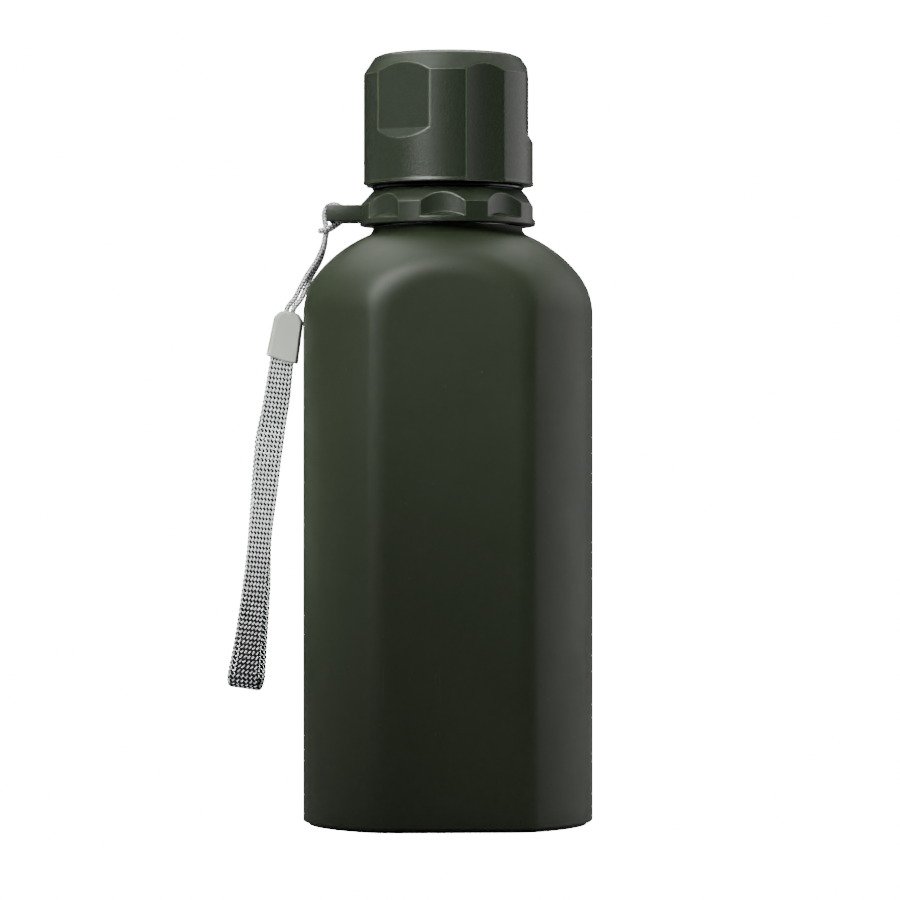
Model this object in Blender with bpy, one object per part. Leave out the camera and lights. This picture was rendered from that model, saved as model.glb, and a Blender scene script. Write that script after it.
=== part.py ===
"""Aluminium canteen: three-sided painted bottle, screwed collar with a pouring spout, screwed faceted cap,
and a braided wrist strap hitched to the collar's lug.

Numbers are in millimetres and MM turns them into metres. +Z is up and the origin is the middle of the foot.
The lug and the strap are at -X and the front is at -Y. Angles are degrees from +X towards +Y.
"""
import math

import bmesh
import bpy
from mathutils import Vector

MM = 0.001

# Bottle
BODY_R = 37.5
BODY_FLAT = 32.0                    # axis to each of the three flats
BODY_FLATS_AT = (-84.4, 35.6, 155.6)
BODY_SOFT = 1.5                     # how gently a flat runs into the round wall
BODY_SIDES = 60
BODY_EDGE = ((0.9, 0.0), (0.25, 0.25), (0.0, 0.9))  # rounded foot edge: inset and height
BODY_ROWS = (45, 90)                # extra rows up the plain wall
FLAT_REACH = 75                     # degrees either side of a flat in which its ray is used
WALL = 1.1
FOOT_Z = 0.75                       # painted edge of the base; the pad stands below it
WALL_TOP_Z = 131.3
CORNER_R = 16.91                    # shoulder: corner arc, then a flatter dome arc
CORNER_SWEEP = 39.1
DOME_R = 34.45
NECK_R = 19.33
NECK_FILLET = 2.2
NECK_TOP_Z = 154.0
FLOOR_Z = 1.85                      # roof of the recess that holds the pad
FLOOR_THICK = 1.2
FLOOR_CORNER = 5.0

# Neck finish, the thread that the collar screws on
FINISH_R = 15.9
BORE_R = 14.6
RIM_Z = 162.0
RIM_EDGE = 0.3
NECK_LEAD = 6.0
NECK_STARTS = 2
NECK_RIDGE_W = (1.4, 0.7)           # root and crest width of the neck thread's ridges
NECK_RIDGE_Z = (156.2, 4.0)         # where they start, and how far they climb
SKIRT_RIDGE_Z = (157.7, 3.6)

# Base pad
PAD_INSET = 1.5
PAD_GAP = 0.3
PAD_TOP_Z = 1.55
PAD_EDGE = 0.4

# Silicone rings: inner radius, outer radius, foot and top
NECK_GASKET = (14.9, 16.6, 162.3, 163.1)
CAP_GASKET = (12.6, 15.6, 192.9, 193.9)

# Collar ring and lug
COLLAR_R = 22.7
COLLAR_TOP_R = 19.3
COLLAR_BORE_R = 18.3
COLLAR_Z = (154.3, 159.6, 163.4)    # foot, start of the cone, top
SCOOP_R = 12.8
SCOOP_AT = 33.45                    # axis to each scoop's centre
SCOOP_ANGLES = (-135, -90, -45, 0, 45, 90, 135)
SCOOP_FOOT_Z = 155.7
SCOOP_LEDGE = 1.75                  # fall of the ledge under each scoop, outward per unit of height
COLLAR_ROWS = (155.7, 156.3, 156.87, 158.2, 159.6, 160.9, 162.1)
COLLAR_SIDES = 80
LUG_X = (-30.94, -20.6)
LUG_Z = (155.4, 159.6)
LUG_HALF_Y = 6.3
LUG_HOLE_X = -23.6                 # inner end of the hole, at the collar
LUG_HOLE_HALF_Y = 3.1
BAR_R = 1.5
BAR_AT = (-29.44, 157.5)            # x and z of the lug's round bar, the strap's hinge

# Mouthpiece
SKIRT_R = 18.0
SKIRT_BORE_R = 17.2
SKIRT_FOOT_Z = 155.2
FLANGE_R = 19.6
FLANGE_Z = (163.4, 163.7, 164.4)
SPOUT_R = 15.2
SPOUT_BORE_R = 13.4
SPOUT_TOP_Z = 192.6
CAP_LEAD = 12.0
CAP_STARTS = 3
CAP_RIDGE_W = (1.8, 1.0)
SPOUT_RIDGE_Z = (174.0, 8.0)
LINER_RIDGE_Z = (172.0, 8.0)
RIDGE_ROOT = 0.4                    # how far every ridge's root is sunk in its wall

# Cap
CAP_R = 22.1
CAP_LIP_R = 22.3
CAP_Z = (164.7, 166.2)              # foot and top of the flared lip
CAP_CHAMFER = ((22.1, 193.0), (18.95, 197.7))
CAP_TOP = (17.6, 198.4)
CAP_LONG_FLAT = 21.1
CAP_LONG_AT = (-60, 60, 180)
CAP_SHORT_FLAT = 20.4
CAP_SHORT_AT = (-120, 0, 120)
CAP_STEP_Z = (175.1, 178.3)
CAP_ROWS = (175.1, 176.2, 177.2, 178.3, 186.0)
CAP_SIDES = 72
CAP_BORE_R = 18.5
CAP_ROOF = ((8.0, 196.6), (16.4, 196.6), (18.5, 194.6))
LINER_R = 18.2
LINER_BORE_R = 17.0
LINER_Z = (165.2, 194.2, 195.6)     # foot, inner roof, top

# Strap
CORD_D = 1.45
WRAP_R = 2.5                        # cord's centre line round the bar
CORD_APART = 0.82                   # middle of the pair to each strand's middle
CLIP_TOP = (-40.9, 132.4)
CLIP_FOOT = (-43.0, 119.8)
CLIP_HALF_W = (3.75, 4.15)          # at the arch and at the foot
CLIP_ARCH = ((0.0, 0.0), (2.4, 0.35), (3.75, 2.3))
CLIP_SLANT = 0.4
CLIP_HALF_T = 2.3
CLIP_SEAM = 0.15
CLIP_EDGE = 0.4
WEB_START = 6.3                     # from the clip's apex to the webbing's ends inside it
WEB_T = 1.1
WEB_LOOP_R = 4.2
WEB_LEG_Y = 0.75                    # half the legs' distance inside the clip
WEB_SPREAD = 60                     # below the clip the legs have drawn apart over this length
WEB_WIDTHS = ((0, 6.1), (12, 6.9), (22, 7.0), (33, 6.7), (43, 6.2), (54, 6.2), (64, 6.6), (74, 7.0), (84, 8.3))
WEB_ASIDE = 1.1                     # sideways shift of the rear leg at the foot
WEB_BOW = 0.9                       # sideways shift of the rear leg half way, the other way
STRAP_LINE = ((-44.3, 110.0), (-46.1, 96.5), (-47.4, 83.5), (-50.1, 57.5), (-53.2, 35.2))


def material(name, colour, roughness, metallic=0.0):
    made = bpy.data.materials.new(name)
    made.use_nodes = True
    shader = made.node_tree.nodes["Principled BSDF"]
    shader.inputs["Base Color"].default_value = (*colour, 1.0)
    shader.inputs["Roughness"].default_value = roughness
    shader.inputs["Metallic"].default_value = metallic
    return made


def new_object(name, bm, finish=None, guide=False):
    """A closed object from a bmesh in millimetres."""
    bmesh.ops.scale(bm, vec=(MM, MM, MM), verts=bm.verts)
    bmesh.ops.recalc_face_normals(bm, faces=bm.faces)
    mesh = bpy.data.meshes.new(name)
    bm.to_mesh(mesh)
    bm.free()
    mesh.shade_smooth()
    mesh.set_sharp_from_angle(angle=math.radians(25))
    obj = bpy.data.objects.new(name, mesh)
    bpy.context.scene.collection.objects.link(obj)
    if guide:
        obj.hide_render = True
        obj.display_type = "WIRE"
    else:
        mesh.materials.append(finish)
    return obj


def combine(obj, other, operation):
    step = obj.modifiers.new(operation.lower(), "BOOLEAN")
    step.operation = operation
    step.solver = "EXACT"
    step.object = other


def set_origin(obj, point):
    """Moves an object's origin to a point in millimetres and leaves its shape where it is."""
    shift = Vector(point) * MM
    for vertex in obj.data.vertices:
        vertex.co -= shift
    obj.location = shift


def skin(bm, rings, loop):
    """Quads between rings of points; loop joins the last ring to the first, otherwise fans close the ends."""
    rows = [[bm.verts.new(p) for p in ring] for ring in rings]
    pairs = list(zip(rows, rows[1:]))
    if loop:
        pairs.append((rows[-1], rows[0]))
    for low, high in pairs:
        for j in range(len(low)):
            k = (j + 1) % len(low)
            bm.faces.new((low[j], low[k], high[k], high[j]))
    if not loop:
        bm.faces.new(rows[0])
        bm.faces.new(rows[-1])


def soft_min(a, b, soft):
    blend = max(soft - abs(a - b), 0.0) / soft
    return min(a, b) - blend * blend * soft / 4


def beside(angle, centres, flat):
    """Distance from the axis to the nearest of several flats, along the ray at an angle."""
    away = min(abs((angle - c + 180) % 360 - 180) for c in centres)
    return flat / math.cos(math.radians(away)) if away < FLAT_REACH else 10 * flat


def ring_points(sides, radius_at, z, start=0.0):
    points = []
    for j in range(sides):
        angle = start + 360.0 * j / sides
        r = radius_at(angle)
        points.append((r * math.cos(math.radians(angle)), r * math.sin(math.radians(angle)), z))
    return points


def round_rings(sides, section):
    return [ring_points(sides, lambda angle, r=r: r, z) for r, z in section]


def turned(name, section, sides, finish, loop=True):
    """A round piece from (r, z) points: a closed ring, or with loop off a cup whose ends are closed."""
    bm = bmesh.new()
    skin(bm, round_rings(sides, section), loop)
    return new_object(name, bm, finish)


def gasket(name, sizes, finish):
    inner, outer, foot, top = sizes
    return turned(name, [(inner, foot), (outer, foot), (outer, top), (inner, top)], 40, finish)


def arc(centre, radius, first, last, steps):
    """Points (r, z) on an arc, ends included."""
    angles = [math.radians(first + (last - first) * i / steps) for i in range(steps + 1)]
    return [(centre[0] + radius * math.cos(a), centre[1] + radius * math.sin(a)) for a in angles]


def thread(name, root_r, crest_r, ridge_z, lead, starts, widths):
    """Right-handed thread ridges that fade out at both ends, as one guide object."""
    foot_z, climb = ridge_z
    root_w, crest_w = widths
    bm = bmesh.new()
    steps = 20
    for k in range(starts):
        sections = []
        for i in range(steps + 1):
            turn = i / steps * climb / lead
            angle = 2 * math.pi * (turn + k / starts)
            fade = min(1.0, 5 * min(i, steps - i) / steps)
            crest = root_r + (crest_r - root_r) * (0.1 + 0.9 * fade)
            z = foot_z + turn * lead
            section = ((root_r, -root_w / 2), (crest, -crest_w / 2), (crest, crest_w / 2), (root_r, root_w / 2))
            sections.append([(r * math.cos(angle), r * math.sin(angle), z + dz) for r, dz in section])
        skin(bm, sections, loop=False)
    return new_object(name, bm, guide=True)


def guide_box(name, low, high):
    bm = bmesh.new()
    x, y, z = zip(low, high)
    foot = [(x[0], y[0], z[0]), (x[1], y[0], z[0]), (x[1], y[1], z[0]), (x[0], y[1], z[0])]
    skin(bm, [foot, [(px, py, z[1]) for px, py, pz in foot]], loop=False)
    return new_object(name, bm, guide=True)


def smooth_line(points, count):
    """Evenly spaced points on a smooth (Catmull-Rom) curve through the given points."""
    points = [Vector(p) for p in points]
    ends = [2 * points[0] - points[1], *points, 2 * points[-1] - points[-2]]
    dense = []
    for a, b, c, d in zip(ends, ends[1:], ends[2:], ends[3:]):
        for i in range(24):
            t = i / 24
            dense.append(0.5 * (2 * b + (c - a) * t + (2 * a - 5 * b + 4 * c - d) * t ** 2
                                + (3 * b - a - 3 * c + d) * t ** 3))
    dense.append(points[-1])
    run = [0.0]
    for a, b in zip(dense, dense[1:]):
        run.append(run[-1] + (b - a).length)
    result = []
    i = 0
    for n in range(count):
        want = run[-1] * n / (count - 1)
        while i < len(run) - 2 and run[i + 1] < want:
            i += 1
        result.append(dense[i].lerp(dense[i + 1], (want - run[i]) / (run[i + 1] - run[i])))
    return result


# ---------------------------------------------------------------- bottle

def dome_centres():
    corner = (BODY_R - CORNER_R, WALL_TOP_Z)
    sweep = math.radians(CORNER_SWEEP)
    step = CORNER_R - DOME_R
    return corner, (corner[0] + step * math.cos(sweep), corner[1] + step * math.sin(sweep))


def shoulder(inset, end_angle):
    """The shoulder's section from the wall up, inset from the outer surface."""
    corner, dome = dome_centres()
    low = arc(corner, CORNER_R - inset, 0, CORNER_SWEEP, 4)
    return low + arc(dome, DOME_R - inset, CORNER_SWEEP, end_angle, 4)[1:]


def outer_rows():
    """The painted outside as (radius, height, distance of the flats)."""
    dome = dome_centres()[1]
    fillet_r = NECK_R + NECK_FILLET
    rise = math.sqrt((DOME_R + NECK_FILLET) ** 2 - (fillet_r - dome[0]) ** 2)
    meet = math.degrees(math.atan2(rise, fillet_r - dome[0]))
    fillet = arc((fillet_r, dome[1] + rise), NECK_FILLET, 180 + meet, 180, 3)[1:]
    rows = [(BODY_R - inset, FOOT_Z + up, BODY_FLAT - inset) for inset, up in BODY_EDGE]
    rows += [(BODY_R, z, BODY_FLAT) for z in BODY_ROWS]
    return rows + [(r, z, BODY_FLAT) for r, z in shoulder(0, meet) + fillet]


def inner_rows():
    """The inside from the bore down to the middle of the floor."""
    dome = dome_centres()[1]
    bore_angle = math.degrees(math.acos((BORE_R - dome[0]) / (DOME_R - WALL)))
    wall_r = BODY_R - WALL
    floor = FLOOR_Z + FLOOR_THICK
    flat = BODY_FLAT - WALL
    corner = arc((wall_r - FLOOR_CORNER, floor + FLOOR_CORNER), FLOOR_CORNER, 0, -90, 3)
    rows = [(r, z, flat) for r, z in shoulder(WALL, bore_angle)[::-1]]
    rows += [(wall_r, z, flat) for z in BODY_ROWS[::-1]]
    return rows + [(r, z, flat - wall_r + r) for r, z in corner] + [(wall_r / 2, floor, flat)]


def bottle_shell(finish):
    """One wall from the recess in the base, up the outside, over the rim and down the inside."""
    recess_r = BODY_R - PAD_INSET + PAD_GAP
    recess_flat = BODY_FLAT - PAD_INSET + PAD_GAP
    rim = (RIM_Z - RIM_EDGE, RIM_Z)
    recess = ((recess_r / 2, FLOOR_Z), (recess_r, FLOOR_Z), (recess_r, FOOT_Z))
    rows = [(r, z, recess_flat) for r, z in recess] + outer_rows()
    rows += [(NECK_R, NECK_TOP_Z, BODY_FLAT), (FINISH_R, NECK_TOP_Z, BODY_FLAT), (FINISH_R, rim[0], BODY_FLAT),
             (FINISH_R - RIM_EDGE, rim[1], BODY_FLAT), (BORE_R, rim[1], BODY_FLAT)]
    rows += inner_rows()
    rings = []
    for r, z, flat in rows:
        def radius_at(angle, r=r, flat=flat):
            return soft_min(r, beside(angle, BODY_FLATS_AT, flat), BODY_SOFT)
        rings.append(ring_points(BODY_SIDES, radius_at, z, BODY_FLATS_AT[0]))
    bm = bmesh.new()
    skin(bm, rings, loop=False)
    shell = new_object("bottle_shell", bm, finish)
    ridges = thread("guide_neck_thread", FINISH_R - RIDGE_ROOT, FINISH_R + 0.75, NECK_RIDGE_Z, NECK_LEAD,
                    NECK_STARTS, NECK_RIDGE_W)
    combine(shell, ridges, "UNION")
    return shell


def base_pad(finish):
    """Plate that follows the bottle's three-sided outline and stands below the painted edge."""
    r = BODY_R - PAD_INSET
    flat = BODY_FLAT - PAD_INSET
    rings = []
    for inset, z in ((PAD_EDGE, 0.0), (0.0, PAD_EDGE), (0.0, PAD_TOP_Z)):
        def radius_at(angle, inset=inset):
            return soft_min(r - inset, beside(angle, BODY_FLATS_AT, flat - inset), BODY_SOFT)
        rings.append(ring_points(BODY_SIDES, radius_at, z, BODY_FLATS_AT[0]))
    bm = bmesh.new()
    skin(bm, rings, loop=False)
    return new_object("base_pad", bm, finish)


# ---------------------------------------------------------------- collar

def scoop(angle, z):
    """Distance from the axis to the nearest finger scoop and the ledge under it, along the ray at an angle."""
    away = min(abs((angle - c + 180) % 360 - 180) for c in SCOOP_ANGLES)
    across = SCOOP_AT * math.sin(math.radians(away))
    if away > 40 or across >= SCOOP_R:
        return 2 * COLLAR_R
    hollow = SCOOP_AT * math.cos(math.radians(away)) - math.sqrt(SCOOP_R ** 2 - across ** 2)
    return max(hollow, COLLAR_R + SCOOP_LEDGE * (SCOOP_FOOT_Z - z))


def collar_ring(finish):
    foot, cone, top = COLLAR_Z
    rings = []
    for z in (foot, *COLLAR_ROWS, top):
        rise = max(z - cone, 0) / (top - cone)
        round_r = COLLAR_R + (COLLAR_TOP_R - COLLAR_R) * rise

        def radius_at(angle, z=z, round_r=round_r):
            return min(round_r, scoop(angle, z))
        rings.append(ring_points(COLLAR_SIDES, radius_at, z))
    rings += round_rings(COLLAR_SIDES, [(COLLAR_BORE_R, top), (COLLAR_BORE_R, foot)])
    bm = bmesh.new()
    skin(bm, rings, loop=True)
    collar = new_object("collar_ring", bm, finish)
    lug = guide_box("guide_lug", (LUG_X[0], -LUG_HALF_Y, LUG_Z[0]), (LUG_X[1], LUG_HALF_Y, LUG_Z[1]))
    hole = guide_box("guide_lug_hole", (LUG_X[0] - 1, -LUG_HOLE_HALF_Y, LUG_Z[0] - 1),
                     (LUG_HOLE_X, LUG_HOLE_HALF_Y, LUG_Z[1] + 1))
    combine(collar, lug, "UNION")
    combine(collar, hole, "DIFFERENCE")
    combine(collar, bar_guide(), "UNION")
    return collar


def bar_guide():
    """The round bar between the lug's arms."""
    bm = bmesh.new()
    sections = []
    for y in (-LUG_HOLE_HALF_Y - 0.5, LUG_HOLE_HALF_Y + 0.5):
        circle = arc(BAR_AT, BAR_R, 0, 360 - 360 / 16, 15)
        sections.append([(x, y, z) for x, z in circle])
    skin(bm, sections, loop=False)
    return new_object("guide_bar", bm, guide=True)


def mouthpiece(finish):
    """Threaded skirt on the neck, a flange over the collar and a threaded spout for the cap."""
    under, flange_low, flange_top = FLANGE_Z
    section = [
        (SPOUT_BORE_R, under), (SKIRT_BORE_R, under), (SKIRT_BORE_R, SKIRT_FOOT_Z), (SKIRT_R, SKIRT_FOOT_Z),
        (SKIRT_R, flange_low), (FLANGE_R, flange_low), (FLANGE_R, flange_top), (SPOUT_R, flange_top),
        (SPOUT_R, SPOUT_TOP_Z - 0.7), (SPOUT_R - 0.6, SPOUT_TOP_Z), (SPOUT_BORE_R + 0.4, SPOUT_TOP_Z),
        (SPOUT_BORE_R, SPOUT_TOP_Z - 0.4),
    ]
    piece = turned("mouthpiece", section, 48, finish)
    spout = thread("guide_spout_thread", SPOUT_R - RIDGE_ROOT, SPOUT_R + 1.1, SPOUT_RIDGE_Z,
                   CAP_LEAD, CAP_STARTS, CAP_RIDGE_W)
    skirt = thread("guide_skirt_thread", SKIRT_BORE_R + RIDGE_ROOT, SKIRT_BORE_R - 0.95, SKIRT_RIDGE_Z,
                   NECK_LEAD, NECK_STARTS, NECK_RIDGE_W)
    combine(piece, spout, "UNION")
    combine(piece, skirt, "UNION")
    return piece


# ---------------------------------------------------------------- cap

def cap_radius(angle, r, z):
    """Round cap cut by three full-height flats and three short ones that end in a sloped step."""
    low, high = CAP_STEP_Z
    step = (CAP_LIP_R - CAP_SHORT_FLAT) * min(max((high - z) / (high - low), 0.0), 1.3)
    long_side = beside(angle, CAP_LONG_AT, CAP_LONG_FLAT)
    short_side = beside(angle, CAP_SHORT_AT, CAP_SHORT_FLAT + step)
    return min(r, long_side, short_side)


def cap_shell(finish):
    foot, lip = CAP_Z
    (chamfer_r, chamfer_z), (crown_r, crown_z) = CAP_CHAMFER
    section = [(CAP_LIP_R, foot), (CAP_R, lip)]
    section += [(CAP_R, z) for z in CAP_ROWS]
    for i in range(4):
        t = i / 4
        section.append((chamfer_r + (crown_r - chamfer_r) * t, chamfer_z + (crown_z - chamfer_z) * t))
    section += [(crown_r, crown_z), (CAP_TOP[0] + 0.5, CAP_TOP[1] - 0.1), CAP_TOP]
    outside = []
    for r, z in section:
        outside.append(ring_points(CAP_SIDES, lambda angle, r=r, z=z: cap_radius(angle, r, z), z))
    inside = round_rings(CAP_SIDES, [*CAP_ROOF, (CAP_BORE_R, foot)])
    lid = round_rings(CAP_SIDES, [(CAP_TOP[0] / 2, CAP_TOP[1])])
    bm = bmesh.new()
    skin(bm, inside + outside + lid, loop=False)
    return new_object("cap_shell", bm, finish)


def cap_liner(finish):
    foot, roof, top = LINER_Z
    middle_r = LINER_BORE_R / 2
    section = [(middle_r, roof), (LINER_BORE_R, roof), (LINER_BORE_R, foot), (LINER_R, foot),
               (LINER_R, top - 1.6), (LINER_R - 1.6, top), (middle_r, top)]
    piece = turned("cap_liner", section, 48, finish, loop=False)
    ridges = thread("guide_liner_thread", LINER_BORE_R + RIDGE_ROOT, LINER_BORE_R - 1.15, LINER_RIDGE_Z,
                    CAP_LEAD, CAP_STARTS, CAP_RIDGE_W)
    combine(piece, ridges, "UNION")
    return piece


# ---------------------------------------------------------------- strap

def clip_axes():
    down = Vector((CLIP_FOOT[0] - CLIP_TOP[0], 0, CLIP_FOOT[1] - CLIP_TOP[1])).normalized()
    return down, Vector((-down.z, 0, down.x))


def on_clip(across, y, down):
    """A point in the clip's own frame: across its width, through its thickness and down from its apex."""
    down_axis, across_axis = clip_axes()
    point = Vector((CLIP_TOP[0], y, CLIP_TOP[1])) + down_axis * down + across_axis * across
    return tuple(point)


def clip_outline():
    """Arched top, sides that spread a little, and a slanted, bowed foot."""
    length = (Vector(CLIP_FOOT) - Vector(CLIP_TOP)).length
    foot_w = CLIP_HALF_W[1]
    foot = [(foot_w, length + CLIP_SLANT), (0.4 * foot_w, length + 0.8 * CLIP_SLANT), (-0.4 * foot_w, length),
            (-foot_w, length - CLIP_SLANT)]
    return list(CLIP_ARCH) + foot + [(-across, down) for across, down in CLIP_ARCH[:0:-1]]


def clip_prism(name, outline, y_low, y_high, finish=None, guide=False):
    bm = bmesh.new()
    skin(bm, [[on_clip(a, y, d) for a, d in outline] for y in (y_low, y_high)], loop=False)
    return new_object(name, bm, finish, guide)


def clip_block(half_w, top, foot):
    return [(-half_w, top), (half_w, top), (half_w, foot), (-half_w, foot)]


def clip_half(name, side, finish):
    """One moulded half, hollowed for the crimp and the webbing's ends, open at the foot and the cord's mouth."""
    inner, outer = sorted((CLIP_SEAM * side, CLIP_HALF_T * side))
    half = clip_prism(name, clip_outline(), inner, outer, finish)
    edge = half.modifiers.new("edge", "BEVEL")
    edge.width = CLIP_EDGE * MM
    edge.segments = 2
    edge.limit_method = "ANGLE"
    edge.angle_limit = math.radians(60)
    deep = sorted((-1.0 * side, 1.55 * side))
    pocket = clip_prism(name + "_guide_pocket", clip_block(3.35, 4.0, 15.0), *deep, guide=True)
    shallow = sorted((-1.1 * side, 1.05 * side))
    mouth = clip_prism(name + "_guide_mouth", clip_block(1.85, -1.0, 4.4), *shallow, guide=True)
    combine(half, pocket, "DIFFERENCE")
    combine(half, mouth, "DIFFERENCE")
    return half


def crimp(finish):
    return clip_prism("crimp", clip_block(2.6, 4.4, 6.0), -1.2, 1.2, finish)


def strap_cord(finish):
    route = cord_points()
    curve = bpy.data.curves.new("strap_cord", "CURVE")
    curve.dimensions = "3D"
    curve.bevel_depth = CORD_D / 2 * MM
    curve.bevel_resolution = 2
    curve.use_fill_caps = True
    spline = curve.splines.new("POLY")
    spline.points.add(len(route) - 1)
    origin = Vector((BAR_AT[0], 0, BAR_AT[1]))
    for point, place in zip(spline.points, route):
        point.co = (*((place - origin) * MM), 1.0)
    curve.materials.append(finish)
    obj = bpy.data.objects.new("strap_cord", curve)
    obj.location = origin * MM
    bpy.context.scene.collection.objects.link(obj)
    return obj


def cord_points():
    """The cord's whole route: one half up to the bight, then the other half back down."""
    bar_x, bar_z = BAR_AT
    across_axis = clip_axes()[1]
    standing = ((4.1, 90), (1.6, 90), (-0.8, 90))
    centres = [(Vector(on_clip(0, 0, down)), turn) for down, turn in standing]
    free = ((-38.9, 135.6, 75), (-37.6, 138.2, 60), (-35.9, 141.6, 42), (-33.6, 145.4, 25), (-32.2, 149.0, 8),
            (-31.7, 151.6, 0), (-31.4, 153.4, 0), (-31.75, 155.4, 0))
    centres += [(Vector((x, 0, z)), turn) for x, z, turn in free]
    halves = []
    for side in (-1, 1):
        half = []
        for centre, turn in centres:
            aside = across_axis * math.sin(math.radians(turn)) + Vector((0, math.cos(math.radians(turn)), 0))
            half.append(centre + aside * side * CORD_APART)
        for degrees in (180, 135, 90, 45, 0, -40):
            a = math.radians(degrees)
            y = side * (0.9 + 0.3 * (180 - degrees) / 220)
            half.append(Vector((bar_x + WRAP_R * math.cos(a), y, bar_z + WRAP_R * math.sin(a))))
        for x, y, z in ((-29.1, 1.75, 154.7), (-30.6, 2.3, 153.8), (-32.0, 2.05, 153.3), (-32.9, 1.1, 153.2)):
            half.append(Vector((x, side * y, z)))
        halves.append(half)
    return smooth_line(halves[0] + halves[1][::-1], 80)


def eased(value, low, high):
    t = min(max((value - low) / (high - low), 0.0), 1.0)
    return t * t * (3 - 2 * t)


def web_width(below_clip):
    for (a, first), (b, last) in zip(WEB_WIDTHS, WEB_WIDTHS[1:]):
        if below_clip < b:
            return first + (last - first) * max(below_clip - a, 0.0) / (b - a)
    return WEB_WIDTHS[-1][1]


def webbing(finish):
    """A flat loop: two legs one behind the other, joined by a round turn at the foot."""
    length = (Vector(CLIP_FOOT) - Vector(CLIP_TOP)).length
    in_clip = length - WEB_START
    ends = [on_clip(0, 0, WEB_START), on_clip(0, 0, length)]
    spine = smooth_line(ends + [(x, 0, z) for x, z in STRAP_LINE], 200)
    run = sum((b - a).length for a, b in zip(spine, spine[1:]))

    def place(down, across, y):
        t = min(max(down / run, 0.0), 1.0) * (len(spine) - 1)
        i = min(int(t), len(spine) - 2)
        tangent = (spine[i + 1] - spine[i]).normalized()
        centre = spine[i].lerp(spine[i + 1], t - i) + tangent * max(down - run, 0.0)
        aside = WEB_ASIDE * eased(down, run - 32, run) * (0.5 + 0.5 * y / WEB_LOOP_R)
        aside -= WEB_BOW * eased(down, 15, 28) * (1 - eased(down, 50, 66)) * eased(y, 0, WEB_LEG_Y)
        return centre + Vector((-tangent.z, 0, tangent.x)) * (across + aside) + Vector((0, y, 0))

    leg = []
    for i in range(17):
        down = (run - WEB_LOOP_R) * i / 16
        apart = eased(down, in_clip, in_clip + WEB_SPREAD)
        leg.append((down, WEB_LEG_Y + (WEB_LOOP_R - WEB_LEG_Y) * apart))
    turn = [(run - WEB_LOOP_R + WEB_LOOP_R * math.sin(a), WEB_LOOP_R * math.cos(a))
            for a in (math.radians(180 * i / 10) for i in range(1, 10))]
    path = leg + turn + [(down, -y) for down, y in leg[::-1]]
    rings = []
    for i, (down, y) in enumerate(path):
        before = Vector(path[max(i - 1, 0)])
        after = Vector(path[min(i + 1, len(path) - 1)])
        along = (after - before).normalized()
        out = Vector((-along.y, along.x)) * WEB_T / 2
        half_w = web_width(down - in_clip) / 2
        corners = ((-1, -half_w), (1, -half_w), (1, half_w), (-1, half_w))
        rings.append([place(down + out.x * s, across, y + out.y * s) for s, across in corners])
    bm = bmesh.new()
    skin(bm, rings, loop=False)
    return new_object("webbing", bm, finish)


def main():
    for obj in list(bpy.data.objects):
        bpy.data.objects.remove(obj, do_unlink=True)
    paint = material("olive_paint", (0.020, 0.027, 0.015), 0.42)
    green = material("olive_plastic", (0.024, 0.031, 0.019), 0.5)
    black = material("black_plastic", (0.012, 0.012, 0.013), 0.3)
    rubber = material("black_rubber", (0.01, 0.01, 0.011), 0.8)
    white = material("natural_plastic", (0.72, 0.72, 0.68), 0.45)
    silicone = material("silicone", (0.75, 0.75, 0.72), 0.4)
    cord = material("cord_braid", (0.55, 0.55, 0.56), 0.85)
    web = material("webbing_weave", (0.5, 0.5, 0.51), 0.9)
    clip = material("grey_plastic", (0.44, 0.47, 0.42), 0.45)
    metal = material("plated_steel", (0.6, 0.6, 0.6), 0.3, 1.0)

    bottle_shell(paint)
    base_pad(rubber)
    gasket("neck_gasket", NECK_GASKET, silicone)
    collar_ring(green)
    mouthpiece(black)
    gasket("cap_gasket", CAP_GASKET, silicone)
    cap_shell(green)
    cap_liner(white)
    hinge = (BAR_AT[0], 0, BAR_AT[1])
    strap_cord(cord)
    halves = [clip_half("clip_front", -1, clip), clip_half("clip_back", 1, clip)]
    for piece in (*halves, crimp(metal), webbing(web)):
        set_origin(piece, hinge)


main()
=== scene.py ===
"""Looks of the canteen: fine surfaces, threads, braided cord and webbing, materials, camera and light.

Numbers are in millimetres in the frame's own axes and MM turns them into metres. The lug is at -X and the
front at -Y. Angles are radians from +X towards +Y unless a name says degrees.
"""
import math

import bpy
import numpy as np
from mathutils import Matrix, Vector


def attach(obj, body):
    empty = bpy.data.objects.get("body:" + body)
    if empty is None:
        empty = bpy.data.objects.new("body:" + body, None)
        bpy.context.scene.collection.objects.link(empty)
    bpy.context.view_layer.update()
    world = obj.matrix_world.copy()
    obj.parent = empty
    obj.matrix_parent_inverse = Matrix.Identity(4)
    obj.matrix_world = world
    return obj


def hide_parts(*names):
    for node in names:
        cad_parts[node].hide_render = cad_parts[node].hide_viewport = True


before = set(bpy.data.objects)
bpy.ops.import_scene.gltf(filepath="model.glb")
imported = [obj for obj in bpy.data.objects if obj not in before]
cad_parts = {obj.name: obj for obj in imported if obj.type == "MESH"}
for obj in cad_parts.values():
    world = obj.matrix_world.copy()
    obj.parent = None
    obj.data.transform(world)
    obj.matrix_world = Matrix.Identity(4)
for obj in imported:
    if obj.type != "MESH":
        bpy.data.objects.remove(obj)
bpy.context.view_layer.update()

MM = 0.001
TAU = 2 * math.pi

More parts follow.
